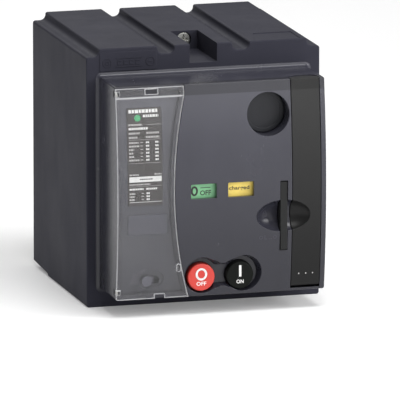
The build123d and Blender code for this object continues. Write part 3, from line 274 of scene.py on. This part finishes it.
def clear_plastic(name):
    """Moulded clear plastic: a faint grey veil, thicker at grazing angles, and whitish at edges and along
    the crease; the veil is partly a painted reflection that lightens what lies behind, and the whitish edges
    and crease line are painted highlights.
    """
    g = Graph(name)
    # Partly painted reflection: the grey veil lightens what lies behind to stand in for the cover's
    # reflection, and its rise at grazing angles also lets the real gloss through.
    weight = g.add("ShaderNodeLayerWeight")
    weight.inputs["Blend"].default_value = 0.35
    veil = g.remap(weight.outputs["Facing"], 0.35, 0.95, 0.085, 0.5, smooth=True)
    # Painted highlight: a whitish, more opaque line along the crease and on sharp edges.
    crease = g.math("MULTIPLY", g.rises("Z", FOLD_Z - 0.4), g.falls("Z", FOLD_Z + 0.4))
    edge_painted_highlight = g.math("MULTIPLY", g.math("MAXIMUM", g.edges(0.0006), g.math("MULTIPLY", crease, 0.5)), 0.85)
    haze = g.remap(g.noise(35, 4, 0.6), 0.4, 0.7, 0.0, 0.02)
    alpha = g.math("MINIMUM", g.math("ADD", g.math("ADD", veil, edge_painted_highlight), haze), 0.95)
    g.join(alpha, g.shader.inputs["Alpha"])
    tone = g.blend(edge_painted_highlight, (0.36, 0.36, 0.37), (0.93, 0.93, 0.96))
    g.join(tone, g.shader.inputs["Base Color"])
    g.join(g.remap(g.noise(90, 4, 0.6), 0.3, 0.7, 0.05, 0.14), g.shader.inputs["Roughness"])
    g.relief(g.noise(60, 2), 0.08, 0.0002, 0.25 * MM)
    g.set(IOR=1.58, Specular_IOR_Level=0.5)
    return g.material


def board(name):
    """Circuit board laminate with darker tracks under the solder mask."""
    g = Graph(name)
    tracks = g.add("ShaderNodeTexVoronoi")
    tracks.feature = "DISTANCE_TO_EDGE"
    tracks.inputs["Scale"].default_value = 260
    g.join(g.place, tracks.inputs["Vector"])
    line = g.remap(tracks.outputs["Distance"], 0.02, 0.05, 1, 0)
    tone = g.blend(line, (0.020, 0.13, 0.055), (0.05, 0.24, 0.10))
    g.join(tone, g.shader.inputs["Base Color"])
    g.join(g.remap(g.noise(200), 0.3, 0.7, 0.25, 0.4), g.shader.inputs["Roughness"])
    g.relief(line, 0.3, 0.00004, 0.1 * MM)
    return g.material


BODY = (0.040, 0.040, 0.054)  # dark grey-blue of the housing
body_plastic = moulded("moulded_body", shade(BODY, 0.85), 0.50, grain=0.5, wear=0.15, dust=0.02,
                       specular=0.04)
# The front cover's tone is painted lighter towards the top (painted light and shade).
# The sunk panel is painted lighter, a painted reflection of the clear cover.
cover_plastic = moulded("moulded_front", BODY, 0.24, grain=0.2, wear=0.08, dust=0.0, round_mm=0.45,
                        painted_shade_gradient=(-64, 56, 0.56, 0.98), specular=0.45, panel=1.35, fold_painted_shade=0.55)
# The blank takes the housing's colour lightened by 1.35, the same painted reflection of the clear cover as
# the sunk panel.
panel_plastic = moulded("moulded_blank", shade(BODY, 1.35), 0.40, grain=0.4, dust=0.0, specular=0.3)
dark_plastic = moulded("moulded_dark", (0.022, 0.023, 0.028), 0.42, dust=0.0, specular=0.3)
frame_plastic = moulded("moulded_bracket", (0.045, 0.045, 0.05), 0.5, dust=0.0)
switch_plastic = moulded("moulded_switch", (0.020, 0.020, 0.022), 0.36, dust=0.0)
# The lever's tone is painted lighter towards the top (painted light and shade).
lever_plastic = moulded("moulded_lever", (0.0125, 0.0125, 0.0125), 0.36, grain=0.3, dust=0.02,
                        painted_shade_gradient=(-62, 58, 0.55, 1.85), specular=0.25, round_mm=0.5, fold_painted_shade=0.6)
tab_plastic = moulded("moulded_tab", (0.014, 0.0145, 0.0145), 0.40, dust=0.0, specular=0.2)
knob_plastic = moulded("moulded_knob", shade(BODY, 1.7), 0.34, dust=0.0)
red_plastic = moulded("moulded_red", (0.57, 0.036, 0.024), 0.30, grain=0.15, vary=0.05, wear=0.15, dust=0.0,
                      coat=0.2)
black_plastic = moulded("moulded_black", (0.007, 0.008, 0.007), 0.32, grain=0.2, vary=0.12, wear=0.1,
                        dust=0.0, specular=0.08)
label_film = moulded("printed_film", (0.036, 0.031, 0.029), 0.42, grain=0.1, vary=0.05, wear=0.2, dust=0.0,
                     specular=0.25)
cover_clear = clear_plastic("clear_moulding")
zinc = metal("zinc_plate", (0.60, 0.60, 0.57), 0.34, scratch=0.2, stain=(0.52, 0.47, 0.34), stain_share=0.35)
machined = metal("machined_steel", (0.46, 0.46, 0.47), 0.28, stretch=(0.05, 1, 1), scratch=0.4)
turned = metal("turned_steel", (0.50, 0.50, 0.51), 0.24, stretch=(4, 0.4, 0.4), scratch=0.35)
rods = metal("ground_rod", (0.62, 0.62, 0.63), 0.16, stretch=(1, 1, 5), scratch=0.12, stain_share=0.1)
wire = metal("spring_wire", (0.30, 0.30, 0.32), 0.30, stretch=(2, 2, 2), scratch=0.25)
can = metal("motor_can", (0.40, 0.41, 0.43), 0.36, stretch=(0.3, 2, 2), scratch=0.2, stain_share=0.15)
bronze = metal("sintered_bronze", (0.60, 0.40, 0.17), 0.42, scratch=0.5, vary=0.2, stain=(0.20, 0.13, 0.06))
board_green = board("board_laminate")
position_print = two_tone("flag_position_print", (0.24, 0.58, 0.30), (0.70, 0.05, 0.035), FLAG_SPLIT_Z)
charge_print = two_tone("flag_charge_print", (1.0, 0.76, 0.16), (0.80, 0.80, 0.78), FLAG_SPLIT_Z)
white_ink = ink("white_ink", (0.86, 0.86, 0.85))
grey_ink = ink("grey_ink", (0.50, 0.49, 0.48))
dark_ink = ink("dark_ink", (0.015, 0.016, 0.016))
mark_ink = ink("mark_ink", (0.030, 0.028, 0.045))
green_ink = ink("green_ink", (0.05, 0.42, 0.16))

MATERIAL_OF = {
    body_plastic: ["rear_housing"],
    cover_plastic: ["front_cover"],
    panel_plastic: ["counter_blank"],
    dark_plastic: ["keylock_blank", "motor_end_cap", "board_components"],
    frame_plastic: ["button_bracket", "flag_guide", "board_posts"],
    switch_plastic: ["microswitches", "mode_switch"],
    lever_plastic: ["charging_lever"],
    tab_plastic: ["padlock_tab"],
    knob_plastic: ["mode_knob"],
    red_plastic: ["off_button"],
    black_plastic: ["on_button"],
    label_film: ["rating_label"],
    cover_clear: ["clear_cover"],
    zinc: ["base_plate", "frame_plate_left", "frame_plate_right", "upper_cross_member",
           "lower_cross_member", "toggle_carriage", "plate_screws", "cover_screws", "frame_screws",
           "pawl_carrier", "top_fixing_screw", "cover_hinge_pins"],
    machined: ["lever_sector", "charge_pinion", "drive_pawl", "ratchet_gear", "ratchet_wheel",
               "intermediate_gear", "intermediate_pinion", "drive_gear", "rack_pinion", "rack"],
    turned: ["lever_pin", "input_axle", "intermediate_shaft", "motor_shaft", "drive_shaft",
             "frame_spacers", "pawl_pin"],
    rods: ["guide_rods"],
    wire: ["off_button_spring", "on_button_spring", "lever_return_spring", "closing_spring_left",
           "closing_spring_right"],
    can: ["motor_can"],
    bronze: ["bearing_bushes", "motor_pinion"],
    board_green: ["circuit_board"],
    position_print: ["position_flag"],
    charge_print: ["charge_flag"],
}
for material, names in MATERIAL_OF.items():
    for name in names:
        mesh = nodes[name].data
        mesh.materials.clear()
        mesh.materials.append(material)


# ------------------------------------------------------------------ printed and raised marks
def tree_of(name):
    mesh = nodes[name].data
    return BVHTree.FromPolygons([v.co for v in mesh.vertices], [p.vertices[:] for p in mesh.polygons])


trees = {name: tree_of(name) for name in (
    "rating_label", "front_cover", "off_button", "on_button", "position_flag", "charge_flag",
    "charging_lever", "rear_housing", "clear_cover", "counter_blank")}


def surface_y(tree, x, z):
    """Y of the first surface seen from the front at x, z, in metres."""
    hit = tree.ray_cast(Vector((x, -0.4, z)), Vector((0, 1, 0)))[0]
    return hit.y if hit else None


def bar(left, right, low, high):
    return [[(left, low), (right, low), (right, high), (left, high)]]


def ring(x, z, radius_x, radius_z, line, parts=40, first=0.0, last=360.0):
    cells = []
    for i in range(parts):
        a, b = (math.radians(first + (last - first) * k / parts) for k in (i, i + 1))
        outer = [(x + radius_x * math.cos(t), z + radius_z * math.sin(t)) for t in (a, b)]
        inner = [(x + (radius_x - line) * math.cos(t), z + (radius_z - line) * math.sin(t)) for t in (b, a)]
        cells.append(outer + inner)
    return cells


def disc(x, z, radius, parts=24):
    angles = [2 * math.pi * k / parts for k in range(parts)]
    return [[(x + radius * math.cos(t), z + radius * math.sin(t)) for t in angles]]


def word(text, x, z, height, width):
    """Flat letters of a plain built-in face, as cells in millimetres, centred on x, z."""
    curve = bpy.data.curves.new("letters", "FONT")
    curve.body = text
    curve.resolution_u = 3
    curve.offset = 0.018
    holder = bpy.data.objects.new("letters", curve)
    bpy.context.scene.collection.objects.link(holder)
    bpy.context.view_layer.update()
    graph = bpy.context.evaluated_depsgraph_get()
    mesh = bpy.data.meshes.new_from_object(holder.evaluated_get(graph))
    xs = [v.co.x for v in mesh.vertices]
    zs = [v.co.y for v in mesh.vertices]
    middle_x, middle_z = (min(xs) + max(xs)) / 2, (min(zs) + max(zs)) / 2
    scale_x = width / (max(xs) - min(xs))
    scale_z = height / (max(zs) - min(zs))
    cells = [
        [(x + (mesh.vertices[i].co.x - middle_x) * scale_x, z + (mesh.vertices[i].co.y - middle_z) * scale_z)
         for i in p.vertices]
        for p in mesh.polygons
    ]
    bpy.data.objects.remove(holder)
    bpy.data.curves.remove(curve)
    bpy.data.meshes.remove(mesh)
    return cells


def mark(name, cells, node, body, material, lift, sink=0.02):
    """Cells (loops of x, z in millimetres) laid on a node's front and given a small thickness."""
    tree = trees[node]
    index, points, fronts = {}, [], []
    for cell in cells:
        face = []
        for x, z in cell:
            key = (round(x, 4), round(z, 4))
            if key not in index:
                index[key] = len(points)
                points.append((x * MM, surface_y(tree, x * MM, z * MM), z * MM))
            if not face or face[-1] != index[key]:
                face.append(index[key])
        if face[0] == face[-1]:
            face.pop()
        if len(face) > 2:
            fronts.append(face)
    count = len(points)
    vertices = [(x, y - lift * MM, z) for x, y, z in points] + [(x, y + sink * MM, z) for x, y, z in points]
    edges = {}
    for face in fronts:
        for a, b in zip(face, face[1:] + face[:1]):
            edges[(a, b)] = edges.get((a, b), 0) + 1
    faces = [list(f) for f in fronts] + [[i + count for i in reversed(f)] for f in fronts]
    faces += [[b, a, a + count, b + count] for a, b in edges if (b, a) not in edges]
    mesh = bpy.data.meshes.new(name)
    mesh.from_pydata(vertices, [], faces)
    mesh.validate()
    mesh.materials.append(material)
    piece = bpy.data.objects.new(name, mesh)
    bpy.context.scene.collection.objects.link(piece)
    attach(piece, body)
    return piece


dice = random.Random(7)


def broken_row(left, right, low, high, shortest=0.5, longest=1.6, space=0.28):
    """A row of short bars that stands for a line of small print."""
    cells, x = [], left
    while x < right - 0.3:
        width = min(dice.uniform(shortest, longest), right - x)
        cells += bar(x, x + width, low, high)
        x += width + space
    return cells


# Rating label: rows of plain bars, no lettering
LEFT, RIGHT = LABEL_LEFT, LABEL_RIGHT
VALUE_COLUMNS = ((-44.2, -43.1), (-38.7, -37.6))  # left ends of the two short bars in each column


def value_bars(column, z):
    """Two short bars that stand for a number."""
    first, second = VALUE_COLUMNS[column]
    return bar(first, first + 0.9, z - 0.5, z + 0.5) + bar(second, second + 0.8, z - 0.5, z + 0.5)


strong, faint = [], []
strong += broken_row(-54.1, -36.4, 44.2, 46.2, 1.1, 2.6, 0.4)
strong += broken_row(-45.6, -36.4, 41.6, 43.1, 0.8, 1.8, 0.35)
faint += broken_row(LEFT, -46.2, 37.0, 38.0)
faint += bar(-43.4, RIGHT, 37.3, 37.5)
strong += broken_row(LEFT, -43.0, 34.6, 35.9, 0.8, 1.7, 0.3)
for z, spans in ((32.6, ((LEFT, -47.4), (-43.8, -35.8))), (30.2, ((LEFT, -49.2), (-44.2, -36.2)))):
    for left, right in spans:
        faint += broken_row(left, right, z - 0.55, z + 0.55)
faint += bar(LEFT, RIGHT, 28.75, 28.9)
for row, width in enumerate((6.2, 6.2, 3.0, 2.8, 2.9, 6.0)):
    z = 27.2 - 2.02 * row
    faint += broken_row(LEFT, LEFT + width, z - 0.5, z + 0.5)
    faint += bar(-47.6, -46.0, z - 0.15, z + 0.25)
    strong += value_bars(0, z) + value_bars(1, z)
faint += bar(LEFT, RIGHT, 15.2, 15.35)
faint += broken_row(LEFT, -48.4, 8.2, 9.0) + broken_row(-39.4, -35.2, 8.2, 9.0)
faint += broken_row(LEFT, -42.0, 2.5, 3.3)
faint += bar(LEFT, RIGHT, 1.7, 1.85)
strong += broken_row(LEFT, -46.0, -0.3, 0.7, 0.8, 1.6) + broken_row(-44.4, -38.0, -0.3, 0.7, 0.8, 1.6)
for z in (-2.4, -4.15, -5.9):
    faint += broken_row(LEFT, -50.9, z - 0.5, z + 0.5)
    faint += bar(-47.2, -45.7, z - 0.15, z + 0.25)
    strong += value_bars(0, z)
strong += bar(LEFT, RIGHT, -7.55, -7.3)
strip = bar(LEFT - 0.1, RIGHT - 0.2, 4.3, 7.4)
strip_line = broken_row(-48.2, -40.2, 5.5, 6.2, 0.5, 1.2, 0.2)
dot = disc(-48.9, 41.3, 1.9)
for name, cells, slot, material, lift in (
    ("label_print_strong", strong, "white_print", white_ink, THIN_INK),
    ("label_print_faint", faint, "white_print", grey_ink, THIN_INK),
    ("label_strip", strip, "white_print", white_ink, 0.05),
    ("label_strip_print", strip_line, "black_print", dark_ink, 0.08),
    ("label_dot", dot, "green_flag", green_ink, THIN_INK),
):
    mark(name, cells, "rating_label", "housing", material, lift)

# Buttons
off_ring = ring(-BUTTON_X, -51.9, 3.45, 3.65, 1.25)
on_line = bar(BUTTON_X - 0.68, BUTTON_X + 0.68, -54.45, -47.85)
for name, x, symbol, word_width in (("off", -BUTTON_X, off_ring, 5.9), ("on", BUTTON_X, on_line, 4.3)):
    node, body = f"{name}_button", f"button_{name}"
    mark(f"{name}_symbol", symbol, node, body, white_ink, 0.38)
    letters = word(name.upper(), x, -57.4, 2.3, word_width)
    mark(f"{name}_word", letters, node, body, white_ink, THIN_INK)

# Flags: what shows at rest, and below it what shows when the flag has moved up
position = ring(-15.9, -2.7, 2.15, 2.9, 1.15)
position += word("OFF", -9.2, -3.9, 2.9, 6.6) + bar(-12.3, -6.3, -1.1, -0.7)
position += bar(-16.7, -15.5, -15.2, -9.8) + word("ON", -9.9, -12.6, 2.9, 5.0)
mark("flag_position_marks", position, "position_flag", "flag_position", dark_ink, THIN_INK)
charge = word("charged", 10.9, -2.4, 2.9, 12.2) + word("discharged", 11.0, -12.6, 2.7, 13.6)
mark("flag_charge_marks", charge, "charge_flag", "flag_charge", dark_ink, THIN_INK)

# Small marks on the front cover and the lever
padlock = bar(25.2, 27.9, -20.6, -20.3) + bar(25.2, 25.5, -20.3, -18.4) + bar(27.6, 27.9, -20.3, -18.4)
padlock += bar(25.2, 27.9, -18.4, -18.1) + ring(26.55, -18.1, 0.95, 1.5, 0.3, 14, 0, 180)
mark("padlock_sign", padlock, "front_cover", "housing", mark_ink, THIN_INK)
size_sign = ring(23.3, -31.7, 1.1, 1.1, 0.3, 20)
size_sign += bar(25.4, 27.0, -32.9, -32.5) + bar(25.4, 25.8, -32.5, -30.4)
size_sign += bar(28.0, 28.5, -32.9, -32.4) + bar(29.2, 29.7, -32.9, -32.4)
size_sign += ring(31.6, -31.7, 1.0, 1.2, 0.35, 16)
mark("padlock_size_sign", size_sign, "front_cover", "housing", mark_ink, THIN_INK)


def studs(name, places, radius, height, node, body, material):
    """Low domes on a node's front."""
    tree = trees[node]
    rings, parts = 4, 16
    vertices, faces = [], []
    for x, z in places:
        base = len(vertices)
        y = surface_y(tree, x * MM, z * MM)
        for r in range(rings):
            lean = math.pi / 2 * r / rings
            for k in range(parts):
                turn = 2 * math.pi * k / parts
                vertices.append((
                    (x + radius * math.cos(lean) * math.cos(turn)) * MM,
                    y + (0.02 - height * math.sin(lean)) * MM,
                    (z + radius * math.cos(lean) * math.sin(turn)) * MM,
                ))
        vertices.append((x * MM, y + (0.02 - height) * MM, z * MM))
        for r in range(rings - 1):
            for k in range(parts):
                a, b = base + r * parts + k, base + r * parts + (k + 1) % parts
                faces.append([a, b, b + parts, a + parts])
        top = base + (rings - 1) * parts
        for k in range(parts):
            faces.append([top + k, top + (k + 1) % parts, base + rings * parts])
        faces.append([base + k for k in reversed(range(parts))])
    mesh = bpy.data.meshes.new(name)
    mesh.from_pydata(vertices, [], faces)
    mesh.validate()
    mesh.materials.append(material)
    mesh.shade_smooth()
    piece = bpy.data.objects.new(name, mesh)
    bpy.context.scene.collection.objects.link(piece)
    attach(piece, body)


studs("lever_dots", LEVER_DOTS, 0.42, 0.25, "charging_lever", "lever", grey_ink)

# Raised outlines on the marking pad of the left rib
pad = ring(-57.6, 67.6, 2.7, 2.7, 0.45, 32) + ring(-57.6, 67.6, 1.2, 1.2, 0.4, 20)
pad += ring(-31.8, 67.6, 2.7, 2.7, 0.45, 32) + bar(-32.9, -30.7, 67.4, 67.8)
pad += bar(-52.4, -37.0, 69.9, 70.3) + bar(-52.4, -37.0, 64.9, 65.3)
for left in (-51.4, -47.8, -44.2, -40.6):
    pad += bar(left, left + 2.4, 66.2, 66.7) + bar(left, left + 2.4, 68.4, 68.9)
    pad += bar(left, left + 0.5, 66.7, 68.4)
mark("pad_relief", pad, "rear_housing", "housing", body_plastic, 0.22)

# ------------------------------------------------------------------ stage
FLOOR_HALF = 30.0
corners = [(x * FLOOR_HALF, y * FLOOR_HALF, cad_low.z) for x, y in ((-1, -1), (1, -1), (1, 1), (-1, 1))]
mesh = bpy.data.meshes.new("floor")
mesh.from_pydata(corners, [], [(0, 1, 2, 3)])
floor = bpy.data.objects.new("floor", mesh)
bpy.context.scene.collection.objects.link(floor)
g = Graph("floor_paper")
g.join(g.blend(g.remap(g.noise(3, 3), 0.3, 0.7, 0, 1), (0.90, 0.90, 0.90), (0.92, 0.92, 0.92)),
       g.shader.inputs["Base Color"])
g.set(Roughness=0.9, Specular_IOR_Level=0.1, Emission_Color=(1, 1, 1, 1), Emission_Strength=0.18)
mesh.materials.append(g.material)

world = bpy.data.worlds.new("studio")
world.use_nodes = True
backdrop = world.node_tree.nodes["Background"]
backdrop.inputs["Color"].default_value = (1.0, 1.0, 1.0, 1)
backdrop.inputs["Strength"].default_value = 0.27
bpy.context.scene.world = world


def softbox(name, place, aim, width, height, power):
    """A soft rectangular light, in metres and watts, turned towards a point."""
    light = bpy.data.lights.new(name, "AREA")
    light.shape = "RECTANGLE"
    light.size, light.size_y = width, height
    light.energy = power
    lamp = bpy.data.objects.new(name, light)
    bpy.context.scene.collection.objects.link(lamp)
    lamp.location = place
    lamp.rotation_mode = "QUATERNION"
    lamp.rotation_quaternion = (Vector(aim) - Vector(place)).to_track_quat("-Z", "Y")


softbox("key_above", (0.10, -0.62, 1.20), (0, -0.08, 0), 0.8, 0.6, 11)
softbox("fill_front", (0.55, -1.5, 0.45), (0, -0.1, 0), 1.0, 0.9, 7)
softbox("rim_back", (-0.2, 1.3, 1.0), (0, -0.05, 0), 1.2, 0.6, 9)
softbox("gleam_right", (0.98, -0.71, 0.48), (0, -0.15, -0.03), 0.42, 0.42, 6.5)

# ------------------------------------------------------------------ camera
LENS, SENSOR = 855.0, 36.0  # millimetres
DISTANCE = 5.559
SHIFT_RIGHT, SHIFT_DOWN = 0.0158, 0.0287  # framing, in metres
azimuth, elevation = math.radians(-15.812), math.radians(11.829)
back = Vector((math.sin(azimuth) * math.cos(elevation), -math.cos(azimuth) * math.cos(elevation),
               math.sin(elevation)))
right = Vector((math.cos(azimuth), math.sin(azimuth), 0))
up = back.cross(right)
middle = Vector((0, -0.055, 0)) + right * SHIFT_RIGHT - up * SHIFT_DOWN
camera_data = bpy.data.cameras.new("camera")
camera_data.sensor_width = SENSOR
camera_data.lens = LENS
camera_data.clip_start, camera_data.clip_end = 0.1, 200.0
camera = bpy.data.objects.new("camera", camera_data)
camera.location = middle + back * DISTANCE
camera.rotation_mode = "QUATERNION"
camera.rotation_quaternion = (-back).to_track_quat("-Z", "Y")
bpy.context.scene.collection.objects.link(camera)
bpy.context.scene.camera = camera
bpy.context.scene.view_settings.view_transform = "Standard"
